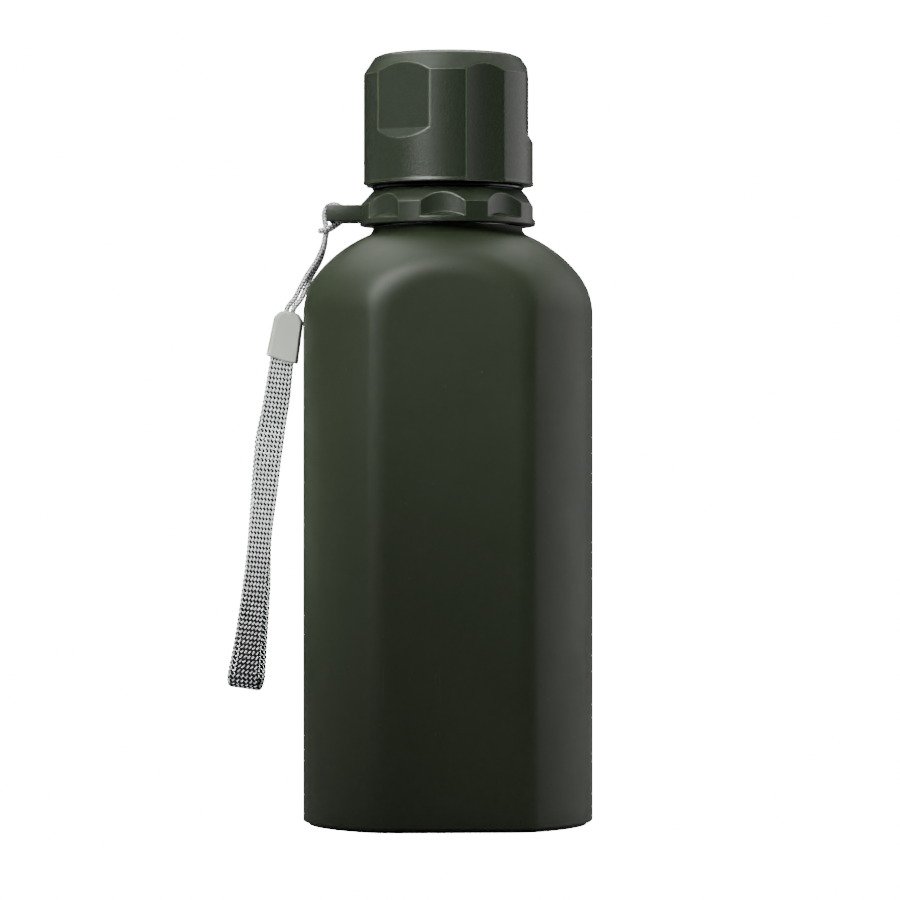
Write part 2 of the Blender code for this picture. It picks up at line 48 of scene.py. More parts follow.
# Bottle: round body and dome cut by three broad flats, bare threaded finish on top
BODY_R = 37.5
BODY_FLAT = 32.0
BODY_FLATS_AT = (-84.4, 35.6, 155.6)
FLAT_REACH = 1.3                    # radians either side of a flat in which its ray is used
WALL = 1.1
FOOT_Z = 0.75
WALL_TOP_Z = 131.3
CORNER_R = 16.91
CORNER_SWEEP = 39.1
DOME_R = 34.45
NECK_R = 19.33
NECK_FILLET = 2.2
NECK_TOP_Z = 154.0
FINISH_R = 15.9
FINISH_FOOT_Z = 154.4
FINISH_TOP_Z = 161.0
BORE_R = 14.6
RIM_Z = 162.0
RECESS_Z = 1.85
RECESS_R = 36.3
FLOOR_Z = 3.05
END_R = 4.0                         # inside this radius a turned piece's flat ends are closed by fans
PAD_R = 36.0
PAD_TOP_Z = 1.55

# Collar, its scoops and lug, and the mouthpiece inside it
COLLAR_R = 22.7
COLLAR_BORE_R = 18.3
COLLAR_TOP_R = 19.3
COLLAR_FOOT_Z = 154.3
COLLAR_CONE_Z = 159.6
COLLAR_TOP_Z = 163.4
COLLAR_SKIN_R = 19.0                # the scoops cut only what lies outside this radius
SCOOPS_AT = (-135, -90, -45, 0, 45, 90, 135)
SCOOP_MIDDLE = 33.45
SCOOP_R = 12.8
SCOOP_FOOT_Z = 155.7
SCOOP_LEDGE = 1.75
LUG_Z = (155.4, 159.6)
LUG_ARM = (-30.94, -19.6)
LUG_ARM_Y = (3.1, 6.3)
LUG_ROOT_X = -23.6
BAR_AT = (-29.44, 157.5)
BAR_R = 1.5
BAR_END_Y = 3.4
SKIRT_R = 17.2
SKIRT_OUTER_R = 18.0
SKIRT_FOOT_Z = 155.2
FLANGE_R = 19.6
FLANGE_Z = (163.7, 164.4)
SPOUT_R = 15.2
SPOUT_BORE_R = 13.4
SPOUT_TOP_Z = 192.6

# Gaskets: name, body, inner and outer radius, low and high face
GASKETS = (("neck_gasket", "neck_seal", 14.9, 16.6, 162.3, 163.1),
           ("cap_gasket", "cap_seal", 12.6, 15.6, 192.9, 193.9))

# Threads: foot height, climb, lead, starts, crest width and root width
FINISH_THREAD = (156.2, 4.0, 6.0, 2, 0.5, 1.7)
SKIRT_THREAD = (157.7, 3.6, 6.0, 2, 0.6, 1.5)
SPOUT_THREAD = (174.0, 8.0, 12.0, 3, 1.0, 1.9)
LINER_THREAD = (172.0, 8.0, 12.0, 3, 1.0, 1.9)
FINISH_RIDGE = 0.72
SKIRT_RIDGE = 0.95
SPOUT_RIDGE = 1.1

# Cap and its liner
CAP_R = 22.1
CAP_LIP_R = 22.28
CAP_BORE_R = 18.5
CAP_SKIN_R = 18.6                   # the flats cut only what lies outside this radius
CAP_FOOT_Z = 164.7
CAP_CONE_Z = 193.0
CAP_TOP_Z = 198.4
LONG_FLATS_AT = (-60, 60, 180)
LONG_FLAT = 20.92
LONG_FLAT_R = 32.0                  # the long flats are slightly hollow
SHORT_FLATS_AT = (-120, 0, 120)
SHORT_FLAT = 20.62
SHORT_FLAT_FOOT_Z = 178.3
SHORT_FLAT_STEP = (1.9, 3.2)        # how far the step under a short flat comes out, and over what height
LINER_R = 18.2
LINER_BORE_R = 17.0
LINER_FOOT_Z = 165.2
LINER_TOP_Z = 195.6
LINER_ROOF_Z = 194.2

# Strap
CORD_D = 1.45
CORD_APART = 0.82                   # middle of the pair to each strand's middle
CORD_PITCH = 3.5                    # length of a carrier's turn round the cord
WRAP_R = 2.5                        # the cord's centre line round the bar
CLIP_TOP = (-40.9, 132.4)
CLIP_FOOT = (-43.0, 119.8)
CLIP_HALF_W = (3.75, 4.15)          # at the arch and at the foot
CLIP_HALF_T = 2.3
WEB_W = 7.0
WEB_START = 6.3                     # from the clip's apex to the webbing's ends inside it
WEB_LOOP_R = 4.2
WEB_LEG_Y = 0.75
WEB_APART = 60                      # below the clip the legs have drawn apart over this length
WEB_ASIDE = 1.1                     # sideways shift of the rear leg at the foot
WEB_BOW = 0.9                       # sideways shift of the rear leg half way, the other way
WEB_EDGE_R = 0.26                   # the flat braid's rounded edge, at the carriers' middles
WEB_PITCH = 1.26                    # a carrier goes over one and under one in this length
WEB_AT = (0, 12, 22, 33, 43, 54, 64, 74, 79, 84)    # distances below the clip
WEB_SPREAD = (0.87, 0.99, 1.0, 0.96, 0.88, 0.88, 0.95, 1.0, 1.08, 1.19)     # share of the width there
STRAP_LINE = ((-44.3, 110.0), (-46.1, 96.5), (-47.4, 83.5), (-50.1, 57.5), (-53.2, 35.2))

SEEN_WHITE = 17                     # strength at which the view transform shows pure white


# ---------------------------------------------------------------- camera, light and floor

def look_at(obj, target):
    obj.rotation_mode = "QUATERNION"
    obj.rotation_quaternion = (Vector(target) - obj.location).to_track_quat("-Z", "Y")


def make_camera():
    """Level camera a little above mid-height, turned 3.4 degrees round the bottle."""
    data = bpy.data.cameras.new("camera")
    camera = bpy.data.objects.new("camera", data)
    bpy.context.scene.collection.objects.link(camera)
    turn = math.radians(3.4)
    away, height = 1.0857, 0.0913
    camera.location = (away * math.sin(turn), -away * math.cos(turn), height)
    look_at(camera, (0, 0, height))
    data.lens = 168
    data.sensor_width = 36
    data.shift_x = 0.0026
    data.shift_y = 0.0222
    data.clip_start = 0.05
    data.clip_end = 60
    bpy.context.scene.camera = camera


def area_light(name, place, target, size, power, spread=180):
    data = bpy.data.lights.new(name, "AREA")
    data.shape = "RECTANGLE"
    data.size, data.size_y = size
    data.energy = power
    data.spread = math.radians(spread)
    light = bpy.data.objects.new(name, data)
    bpy.context.scene.collection.objects.link(light)
    light.location = place
    look_at(light, target)


def white_when_seen(tree, other, target):
    """White to the camera itself and the other shader to all the light that the object gets."""
    path = tree.nodes.new("ShaderNodeLightPath")
    seen = tree.nodes.new("ShaderNodeEmission")
    seen.inputs["Color"].default_value = (1, 1, 1, 1)
    seen.inputs["Strength"].default_value = SEEN_WHITE
    mix = tree.nodes.new("ShaderNodeMixShader")
    tree.links.new(path.outputs["Is Camera Ray"], mix.inputs[0])
    tree.links.new(other.outputs[0], mix.inputs[1])
    tree.links.new(seen.outputs[0], mix.inputs[2])
    tree.links.new(mix.outputs[0], target.inputs[0])


def make_light():
    """Soft boxes from above and both sides, with narrow ones for the shoulder, the cap and the strap."""
    area_light("key", (-0.16, -0.26, 0.5), (0, 0, 0.224), (0.34, 0.34), 0.5, 37)
    area_light("cap", (-0.26, -0.42, 0.4), (0, 0, 0.2), (0.2, 0.2), 0.075, 20)
    area_light("top", (-0.06, 0.32, 0.92), (0, 0, 0.15), (0.9, 0.6), 10.0)
    area_light("right", (1.0, 0.3, 0.42), (0, 0, 0.12), (1.5, 1.0), 8.4)
    area_light("left", (-1.0, 0.15, 0.3), (0, 0, 0.1), (1.2, 0.8), 1.0)
    area_light("strap", (-0.36, -0.36, 0.08), (-0.092, 0, 0.08), (0.06, 0.1), 0.08, 15)
    world = bpy.data.worlds.new("studio")
    bpy.context.scene.world = world
    world.use_nodes = True
    tree = world.node_tree
    tree.nodes.clear()
    room = tree.nodes.new("ShaderNodeBackground")
    room.inputs["Color"].default_value = (0.95, 0.97, 1.0, 1)
    room.inputs["Strength"].default_value = 0.016
    white_when_seen(tree, room, tree.nodes.new("ShaderNodeOutputWorld"))


def make_floor():
    half = 4.0
    corners = [(-half, -half, 0), (half, -half, 0), (half, half, 0), (-half, half, 0)]
    mesh = bpy.data.meshes.new("floor")
    mesh.from_pydata(corners, [], [(0, 1, 2, 3)])
    floor = bpy.data.objects.new("floor", mesh)
    bpy.context.scene.collection.objects.link(floor)
    made = bpy.data.materials.new("pale_floor")
    made.use_nodes = True
    tree = made.node_tree
    shader = tree.nodes["Principled BSDF"]
    shader.inputs["Base Color"].default_value = (0.25, 0.25, 0.25, 1)
    shader.inputs["Roughness"].default_value = 0.9
    white_when_seen(tree, shader, tree.nodes["Material Output"])
    mesh.materials.append(made)


# ---------------------------------------------------------------- materials

class Shader:
    """A Principled material and short ways to add nodes to it. Coordinates are in millimetres."""

    def __init__(self, name, colour, roughness, metallic=0.0):
        self.material = bpy.data.materials.new(name)
        self.material.use_nodes = True
        self.tree = self.material.node_tree
        self.bsdf = self.tree.nodes["Principled BSDF"]
        self.set(self.bsdf, "Base Color", (*colour, 1.0))
        self.set(self.bsdf, "Roughness", roughness)
        self.set(self.bsdf, "Metallic", metallic)
        place = self.tree.nodes.new("ShaderNodeTexCoord")
        scale = self.tree.nodes.new("ShaderNodeMapping")
        scale.inputs["Scale"].default_value = (1000, 1000, 1000)
        self.link(place.outputs["Object"], scale.inputs["Vector"])
        self.place = scale.outputs["Vector"]

    def set(self, node, socket, value):
        node.inputs[socket].default_value = value

    def link(self, source, target):
        self.tree.links.new(source, target)

    def noise(self, per_mm, detail=2.0, stretch=None):
        source = self.place
        if stretch:
            squeeze = self.tree.nodes.new("ShaderNodeMapping")
            squeeze.inputs["Scale"].default_value = stretch
            self.link(source, squeeze.inputs["Vector"])
            source = squeeze.outputs["Vector"]
        node = self.tree.nodes.new("ShaderNodeTexNoise")
        self.set(node, "Scale", per_mm)
        self.set(node, "Detail", detail)
        self.link(source, node.inputs["Vector"])
        return node.outputs["Fac"]

    def ramp(self, value, stops):
        node = self.tree.nodes.new("ShaderNodeValToRGB")
        band = node.color_ramp
        while len(band.elements) < len(stops):
            band.elements.new(0.5)
        for element, (where, colour) in zip(band.elements, stops):
            element.position = where
            element.color = (*colour, 1.0)
        self.link(value, node.inputs["Fac"])
        return node.outputs["Color"]

    def remap(self, value, low, high, out_low, out_high):
        node = self.tree.nodes.new("ShaderNodeMapRange")
        sockets = ("From Min", "From Max", "To Min", "To Max")
        for socket, number in zip(sockets, (low, high, out_low, out_high)):
            self.set(node, socket, number)
        self.link(value, node.inputs["Value"])
        return node.outputs["Result"]

    def blend(self, factor, first, second):
        node = self.tree.nodes.new("ShaderNodeMix")
        node.data_type = "RGBA"
        for socket, value in ((node.inputs[0], factor), (node.inputs[6], first), (node.inputs[7], second)):
            if hasattr(value, "is_linked"):
                self.link(value, socket)
            else:
                socket.default_value = (*value, 1.0) if hasattr(value, "__len__") else value
        return node.outputs[2]

    def bump(self, height, depth, strength=1.0, after=None):
        """Bump whose height is a 0 to 1 value times depth in millimetres."""
        node = self.tree.nodes.new("ShaderNodeBump")
        self.set(node, "Distance", depth * MM)
        self.set(node, "Strength", strength)
        self.link(height, node.inputs["Height"])
        if after is not None:
            self.link(after, node.inputs["Normal"])
        return node.outputs["Normal"]

    def finish(self, colour=None, roughness=None, normal=None):
        for value, socket in ((colour, "Base Color"), (roughness, "Roughness"), (normal, "Normal")):
            if value is not None:
                self.link(value, self.bsdf.inputs[socket])
        return self.material


def olive_paint():
    """Matt baked paint: fine orange peel, slow colour drift, a few pale specks and upright rubs."""
    s = Shader("olive_paint", (0.014, 0.022, 0.008), 0.45)
    drift = s.noise(0.02, 3)
    colour = s.ramp(drift, [(0.3, (0.0135, 0.0220, 0.0072)), (0.7, (0.0160, 0.0255, 0.0088))])
    speck = s.remap(s.noise(1.1, 1), 0.77, 0.80, 0, 0.35)
    colour = s.blend(speck, colour, (0.06, 0.075, 0.05))
    rub = s.remap(s.noise(0.8, 3, (1.0, 1.0, 0.05)), 0.70, 0.74, 0, 0.10)
    colour = s.blend(rub, colour, (0.06, 0.07, 0.055))
    grain = s.noise(2.6, 3)
    peel = s.noise(0.55, 2)
    normal = s.bump(peel, 0.05, 0.25)
    normal = s.bump(grain, 0.02, 0.35, normal)
    rough = s.remap(s.noise(0.05, 4), 0.3, 0.7, 0.50, 0.58)
    return s.finish(colour, rough, normal)


def olive_plastic(name="olive_plastic", lighter=1.0):
    """Fine spark-eroded grain on moulded plastic; lighter is for edges that are partly rubbed pale and partly
    a painted highlight.
    """
    s = Shader(name, (0.014, 0.021, 0.011), 0.42)
    drift = s.noise(0.05, 2)
    dark = tuple(lighter * c for c in (0.0145, 0.0222, 0.0110))
    pale = tuple(lighter * c for c in (0.0170, 0.0258, 0.0132))
    colour = s.ramp(drift, [(0.3, dark), (0.7, pale)])
    grain = s.noise(2.0, 3)
    fine = s.noise(9.0, 2)
    rough = s.remap(grain, 0.3, 0.7, 0.34, 0.46)
    normal = s.bump(fine, 0.01, 0.5, s.bump(grain, 0.06, 0.7))
    return s.finish(colour, rough, normal)


def plain(name, colour, roughness, grain_per_mm=3.0, depth=0.01, metallic=0.0):
    """A moulded or cast surface with a light grain and slightly uneven roughness."""
    s = Shader(name, colour, roughness, metallic)
    grain = s.noise(grain_per_mm, 3)
    rough = s.remap(s.noise(0.3, 3), 0.3, 0.7, roughness - 0.06, roughness + 0.06)
    darker = tuple(0.93 * c for c in colour)
    tone = s.blend(s.noise(0.15, 2), colour, darker)
    return s.finish(tone, rough, s.bump(grain, depth, 0.4))


def silicone():
    """Translucent white rubber."""
    s = Shader("silicone", (0.75, 0.75, 0.72), 0.38)
    s.set(s.bsdf, "Subsurface Weight", 0.6)
    s.set(s.bsdf, "Subsurface Radius", (0.002, 0.002, 0.002))
    return s.finish(s.blend(s.noise(0.4, 2), (0.75, 0.75, 0.72), (0.70, 0.70, 0.67)))


def bare_aluminium():
    """Turned and blasted metal of the neck and the inside."""
    s = Shader("bare_aluminium", (0.72, 0.73, 0.74), 0.36, 1.0)
    lines = s.noise(1.0, 4, (0.2, 0.2, 9.0))
    rough = s.remap(lines, 0.3, 0.7, 0.28, 0.46)
    colour = s.blend(s.noise(0.2, 2), (0.74, 0.75, 0.76), (0.66, 0.67, 0.68))
    return s.finish(colour, rough, s.bump(lines, 0.01, 0.4))


def yarn(name, colour, dark, roughness):
    """Matt multifilament yarn whose fine fibres vary in tone."""
    s = Shader(name, colour, roughness)
    fibres = s.noise(9.0, 2)
    tone = s.blend(s.remap(fibres, 0.35, 0.65, 0, 1), dark, colour)
    s.set(s.bsdf, "Specular IOR Level", 0.25)
    return s.finish(tone, None, s.bump(fibres, 0.03, 0.5))


# ---------------------------------------------------------------- mesh building

def new_piece(name, verts, faces, materials, body, nodes=(), face_slots=None):
    """A smooth mesh piece from arrays. verts are in millimetres; faces are rows of 3 or 4 indices."""
    verts = np.asarray(verts, float)
    faces = [np.asarray(f) for f in faces if len(f)]
    corners = np.concatenate([f.ravel() for f in faces])
    sizes = np.concatenate([np.full(len(f), f.shape[1]) for f in faces])
    mesh = bpy.data.meshes.new(name)
    mesh.vertices.add(len(verts))
    mesh.vertices.foreach_set("co", (verts * MM).ravel())
    mesh.loops.add(len(corners))
    mesh.loops.foreach_set("vertex_index", corners)
    mesh.polygons.add(len(sizes))
    mesh.polygons.foreach_set("loop_start", np.concatenate([[0], np.cumsum(sizes)[:-1]]))
    mesh.update(calc_edges=True)
    mesh.validate()
    mesh.shade_smooth()
    for made in materials:
        mesh.materials.append(made)
    if face_slots is not None:
        mesh.polygons.foreach_set("material_index", np.asarray(face_slots, dtype=np.int32))
    piece = bpy.data.objects.new(name, mesh)
    bpy.context.scene.collection.objects.link(piece)
    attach(piece, body)
    if nodes:
        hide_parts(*nodes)
    return piece


def grid_faces(rows, columns, loop, offset=0):
    """Index and quads of a grid whose columns wrap; loop also joins its last row to the first."""
    index = np.arange(rows * columns).reshape(rows, columns) + offset
    low, high = (index, np.roll(index, -1, 0)) if loop else (index[:-1], index[1:])
    quads = np.stack([low, np.roll(low, -1, 1), np.roll(high, -1, 1), high], -1).reshape(-1, 4)
    return index, quads


def outward(verts, quads, tris):
    """The same faces, all turned so that the closed surface they make faces out."""
    pieces = [f for f in (quads[:, [0, 1, 2]], quads[:, [0, 2, 3]], tris) if len(f)]
    t = np.concatenate(pieces)
    a, b, c = verts[t[:, 0]], verts[t[:, 1]], verts[t[:, 2]]
    if np.einsum("ij,ij->i", a, np.cross(b, c)).sum() < 0:
        quads, tris = quads[:, ::-1], tris[:, ::-1]
    return quads, tris


def closed_ends(verts, index, columns):
    """The points with the middles of the first and last row added, and the fans that close those rows."""
    fans = []
    for row, flip in ((index[0], False), (index[-1], True)):
        verts = np.concatenate([verts, verts[row].mean(0)[None]])
        fan = np.stack([row, np.full(columns, len(verts) - 1), np.roll(row, -1)], -1)
        fans.append(fan[:, ::-1] if flip else fan)
    return verts, np.concatenate(fans)


def turned(name, section, radius, columns, materials, body, nodes=(), loop=False, bare_from=None,
           edges=None):
    """A piece swept round the axis. section is a list of (r, z); radius(r, z, angle) gives the real radius.

    From section row bare_from on, and where edges(r, z, angle) is true, the faces have the second material.
    """
    section = np.asarray(section, float)
    angle = np.arange(columns) * TAU / columns
    r = radius(section[:, :1], section[:, 1:], angle[None, :]) if radius else section[:, :1] + 0 * angle
    z = np.broadcast_to(section[:, 1:], r.shape)
    verts = np.stack([r * np.cos(angle), r * np.sin(angle), z], -1).reshape(-1, 3)
    index, quads = grid_faces(len(section), columns, loop)
    tris = np.zeros((0, 3), int)
    if not loop:
        verts, tris = closed_ends(verts, index, columns)
    quads, tris = outward(verts, quads, tris)
    slots = None
    if bare_from is not None:
        rows = np.repeat(np.arange(len(quads) // columns), columns)
        ends = np.repeat([0, 1], columns)
        slots = np.concatenate([(rows >= bare_from).astype(int), ends])
    if edges:
        worn_and_highlit = edges(section[:, :1], section[:, 1:], angle[None, :])
        worn_and_highlit = worn_and_highlit & np.roll(worn_and_highlit, -1, 0) if loop else worn_and_highlit[:-1] & worn_and_highlit[1:]
        slots = np.concatenate([worn_and_highlit.ravel().astype(int), np.zeros(len(tris), int)])
    return new_piece(name, verts, [quads, tris], materials, body, nodes, slots)


def arc(centre, radius, first, last, steps):
    angles = np.radians(np.linspace(first, last, steps + 1))
    return [(centre[0] + radius * math.cos(a), centre[1] + radius * math.sin(a)) for a in angles]


def rounded(corners, closed, steps=4):
    """A section from corners (r, z, fillet radius)."""
    path = []
    for i, (r, z, fillet) in enumerate(corners):
        if fillet == 0:
            path.append((r, z))
            continue
        p = Vector((r, z))
        u = (Vector(corners[i - 1][:2]) - p).normalized()
        v = (Vector(corners[(i + 1) % len(corners)][:2]) - p).normalized()
        half = u.angle(v) / 2
        centre = p + (u + v).normalized() * (fillet / math.sin(half))
        start = p + u * (fillet / math.tan(half)) - centre
        end = p + v * (fillet / math.tan(half)) - centre
        first = math.atan2(start.y, start.x)
        sweep = (math.atan2(end.y, end.x) - first + math.pi) % TAU - math.pi
        for k in range(steps + 1):
            a = first + sweep * k / steps
            path.append((centre.x + fillet * math.cos(a), centre.y + fillet * math.sin(a)))
    if closed:
        path.append(path[0])
    return path


def divided(path, step):
    """The same path with no stretch longer than step."""
    result = [path[0]]
    for a, b in zip(path, path[1:]):
        count = max(1, math.ceil(math.dist(a, b) / step - 1e-6))
        for i in range(1, count + 1):
            result.append((a[0] + (b[0] - a[0]) * i / count, a[1] + (b[1] - a[1]) * i / count))
    return result


def ring_section(corners, step):
    return divided(rounded(corners, True), step)[:-1]


def soft_min(a, b, soft):
    blend = np.maximum(soft - np.abs(a - b), 0) / soft
    return np.minimum(a, b) - blend * blend * soft / 4


def smooth_step(x, low, high):
    t = np.clip((x - low) / (high - low), 0, 1)
    return t * t * (3 - 2 * t)


def away_from(angle, centres):
    """Angle to the nearest of several directions given in degrees."""
    return np.min([np.abs((angle - math.radians(c) + math.pi) % TAU - math.pi) for c in centres], 0)


def flat_side(angle, centres, distance):
    away = away_from(angle, centres)
    return np.where(away < FLAT_REACH, distance / np.cos(np.minimum(away, FLAT_REACH)), 10 * distance)


def scoop_side(angle, centres, middle, radius):
    """Radius of round hollows whose centre lines stand at a distance from the axis."""
    away = away_from(angle, centres)
    across = middle * np.sin(away)
    inside = (across < radius) & (away < 1.0)
    depth = middle * np.cos(away) - np.sqrt(np.maximum(radius ** 2 - across ** 2, 0))
    return np.where(inside, depth, 4 * middle)


def ridge(angle, z, foot_z, climb, lead, starts, crest_w, root_w):
    """0 to 1 height of right-handed thread ridges at an angle and a height."""
    pitch = lead / starts
    off = (z - foot_z - lead * angle / TAU + pitch / 2) % pitch - pitch / 2
    centre = z - off
    fade_in = smooth_step(centre, foot_z, foot_z + 0.15 * climb)
    fade_out = smooth_step(-centre, -foot_z - climb, -foot_z - 0.85 * climb)
    return smooth_step(-np.abs(off), -root_w / 2, -crest_w / 2) * (fade_in * fade_out)


# ---------------------------------------------------------------- bottle

def dome_centres():
    corner = (BODY_R - CORNER_R, WALL_TOP_Z)
    sweep = math.radians(CORNER_SWEEP)
    step = CORNER_R - DOME_R
    return corner, (corner[0] + step * math.cos(sweep), corner[1] + step * math.sin(sweep))


def shoulder(inset, end_angle, steps):
    corner, dome = dome_centres()
    low = arc(corner, CORNER_R - inset, 0, CORNER_SWEEP, steps)
    return low + arc(dome, DOME_R - inset, CORNER_SWEEP, end_angle, 2 * steps)[1:]


def body_outline(r, z, angle, inset=0.0):
    """Round wall cut by three broad flats, a little shallower and softer towards the foot."""
    near_foot = 1 - smooth_step(z, 5, 70)
    soft = 1.6 + 0.5 * near_foot + 2.2 * smooth_step(z, 126, 146)
    side = flat_side(angle, BODY_FLATS_AT, BODY_FLAT + 0.12 * near_foot) - inset
    return soft_min(r, side, soft)


def outer_section():
    """The paint's path from the recess under the foot to the top of the painted neck."""
    dome = dome_centres()[1]
    fillet_r = NECK_R + NECK_FILLET
    rise = math.sqrt((DOME_R + NECK_FILLET) ** 2 - (fillet_r - dome[0]) ** 2)
    meet = math.degrees(math.atan2(rise, fillet_r - dome[0]))
    low_z = 20.0
    foot = rounded([(END_R, RECESS_Z, 0), (RECESS_R, RECESS_Z, 0.2), (RECESS_R, FOOT_Z, 0.15),
                    (BODY_R, FOOT_Z, 0.75), (BODY_R, low_z, 0)], False, 6)
    wall = divided([(BODY_R, low_z), (BODY_R, WALL_TOP_Z)], 2.5)[1:-1]
    fillet = arc((fillet_r, dome[1] + rise), NECK_FILLET, 180 + meet, 180, 8)[1:]
    return divided(foot, 4) + wall + shoulder(0, meet, 26) + fillet + [(NECK_R, NECK_TOP_Z - 0.1)]


def bare_section():
    """The rest of the shell: the threaded finish, the rim and the inside down to the floor."""
    dome = dome_centres()[1]
    bore_angle = math.degrees(math.acos((BORE_R - dome[0]) / (DOME_R - WALL)))
    neck = rounded([(NECK_R, 153.95, 0), (NECK_R - 0.1, NECK_TOP_Z, 0.03), (FINISH_R, NECK_TOP_Z, 0.08),
                    (FINISH_R, FINISH_FOOT_Z, 0)], False)
    finish = divided([(FINISH_R, FINISH_FOOT_Z), (FINISH_R, FINISH_TOP_Z)], 0.13)[1:]
    rim = rounded([(FINISH_R, FINISH_TOP_Z, 0), (FINISH_R, RIM_Z, 0.5), (BORE_R, RIM_Z, 0.5),
                   (BORE_R, RIM_Z - 2.0, 0)], False)[1:]
    inner = shoulder(WALL, bore_angle, 14)[::-1]
    floor = rounded([(BODY_R - WALL, 40, 0), (BODY_R - WALL, FLOOR_Z, 5.0), (END_R, FLOOR_Z, 0)], False, 8)
    return neck + finish + rim + inner + divided(floor, 8)


def make_bottle():
    outer = outer_section()
    section = outer + bare_section()
    is_inner = (np.arange(len(section)) >= len(outer))[:, None]

    def radius(r, z, angle):
        """Flats cut the paint and, a wall further in, the inside; feet are scaled and the neck is round."""
        scaled = r * body_outline(BODY_R, z, angle) / BODY_R
        cut = body_outline(r, z, angle, np.where(is_inner & (z < NECK_TOP_Z - 1), WALL, 0.0))
        is_scaled = np.where(is_inner, z < FLOOR_Z + 6, z < FOOT_Z + 1.5)
        is_neck = (r < NECK_R + 0.2) & (z > FLOOR_Z + 6)
        is_finish = (np.abs(r - FINISH_R) < 0.05) & (z > NECK_TOP_Z + 0.2)
        value = np.where(is_neck, r, np.where(is_scaled, scaled, cut))
        return value + np.where(is_finish, FINISH_RIDGE * ridge(angle, z, *FINISH_THREAD), 0.0)
    turned("bottle", section, radius, 384, [olive_paint(), bare_aluminium()], "bottle",
           ["bottle_shell"], bare_from=len(outer))


def make_base_pad():
    corners = [(3, 0, 0), (PAD_R, 0, 0.35), (PAD_R, PAD_TOP_Z, 0.1), (3, PAD_TOP_Z, 0)]
    section = divided(rounded(corners, False), 3)
    rubber = plain("black_rubber", (0.012, 0.012, 0.013), 0.7, 1.5, 0.03)
    turned("base_pad_fine", section, lambda r, z, a: r * body_outline(BODY_R, z, a) / BODY_R, 256,
           [rubber], "bottle", ["base_pad"])


# ---------------------------------------------------------------- collar, mouthpiece and gaskets

def collar_scoops(z, angle):
    """The scoops' upright walls and the slightly sloping ledges at their feet."""
    scoops = scoop_side(angle, SCOOPS_AT, SCOOP_MIDDLE, SCOOP_R)
    return scoops, COLLAR_R + SCOOP_LEDGE * (SCOOP_FOOT_Z - z) + 0 * angle


def collar_radius(r, z, angle):
    scoops = np.maximum(*collar_scoops(z, angle))
    return np.where(r > COLLAR_SKIN_R, soft_min(r, scoops, 0.25), r)


def collar_edges(r, z, angle):
    """The moulded edges, which are partly rubbed pale and partly lighter as a painted highlight."""
    wall, ledge = collar_scoops(z, angle)
    cut = np.maximum(wall, ledge)
    rim = np.abs(r - cut) < 0.14
    corner = (np.abs(wall - ledge) < 0.1) & (cut < r) & (z < SCOOP_FOOT_Z + 1.5)
    cone = (np.abs(z - COLLAR_CONE_Z) < 0.14) & (cut > r)
    return (r > COLLAR_SKIN_R) & (rim | corner | cone)


def make_collar(plastic, worn_and_highlit):
    section = ring_section([
        (COLLAR_BORE_R, COLLAR_FOOT_Z, 0.15), (COLLAR_R, COLLAR_FOOT_Z, 0.3), (COLLAR_R, COLLAR_CONE_Z, 0.25),
        (COLLAR_TOP_R, COLLAR_TOP_Z, 0.25), (COLLAR_BORE_R, COLLAR_TOP_Z, 0.15)], 0.16)
    turned("collar_grip", section, collar_radius, 640, [plastic, worn_and_highlit], "collar",
           ["collar_ring"], loop=True, edges=collar_edges)
    make_lug(plastic)


def bevelled_box(low, high, bevel, segments=3):
    """Vertices and faces of a box with rounded edges, read from an evaluated bevel."""
    mesh = bpy.data.meshes.new("block")
    x, y, z = zip(low, high)
    corners = [(x[i], y[j], z[k]) for i in (0, 1) for j in (0, 1) for k in (0, 1)]
    sides = [(0, 1, 3, 2), (4, 6, 7, 5), (0, 4, 5, 1), (2, 3, 7, 6), (0, 2, 6, 4), (1, 5, 7, 3)]
    mesh.from_pydata(corners, [], sides)
    block = bpy.data.objects.new("block", mesh)
    bpy.context.scene.collection.objects.link(block)
    edge = block.modifiers.new("edge", "BEVEL")
    edge.width = bevel
    edge.segments = segments
    return take_mesh(block)


def take_mesh(obj):
    """The evaluated mesh of a scratch object as (vertices, list of faces); the object is removed."""
    bpy.context.view_layer.update()
    evaluated = obj.evaluated_get(bpy.context.evaluated_depsgraph_get())
    mesh = evaluated.to_mesh()
    verts = np.array([tuple(v.co) for v in mesh.vertices])
    faces = [tuple(p.vertices) for p in mesh.polygons]
    evaluated.to_mesh_clear()
    bpy.data.objects.remove(obj)
    return verts, faces


def joined(name, parts, materials, body, nodes=(), sharp=35):
    """One piece from several (vertices, faces) blocks."""
    mesh = bpy.data.meshes.new(name)
    verts, faces = [], []
    for part_verts, part_faces in parts:
        faces += [tuple(i + len(verts) for i in f) for f in part_faces]
        verts += [tuple(v * MM) for v in np.asarray(part_verts)]
    mesh.from_pydata(verts, [], faces)
    mesh.shade_smooth()
    mesh.set_sharp_from_angle(angle=math.radians(sharp))
    for made in materials:
        mesh.materials.append(made)
    piece = bpy.data.objects.new(name, mesh)
    bpy.context.scene.collection.objects.link(piece)
    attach(piece, body)
    if nodes:
        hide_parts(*nodes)
    return piece


def make_lug(plastic):
    """Two square arms and a root from the collar, and the round bar between the arms."""
    low, high = LUG_Z
    tip, root = LUG_ARM
    near, far = LUG_ARM_Y
    blocks = [bevelled_box((tip, y, low), (root, y + far - near, high), 0.32) for y in (-far, near)]
    blocks.append(bevelled_box((LUG_ROOT_X, -BAR_END_Y, low + 0.02), (root, BAR_END_Y, high - 0.02), 0.3))
    around = np.arange(40) * TAU / 40
    x, z = BAR_AT[0] + BAR_R * np.cos(around), BAR_AT[1] + BAR_R * np.sin(around)
    rings = [np.stack([x, 0 * around + y, z], -1) for y in np.linspace(-BAR_END_Y, BAR_END_Y, 9)]
    index, quads = grid_faces(9, 40, False)
    faces = [tuple(q) for q in quads] + [tuple(index[0]), tuple(index[-1][::-1])]
    blocks.append((np.concatenate(rings), faces))
    joined("collar_lug", blocks, [plastic], "collar")


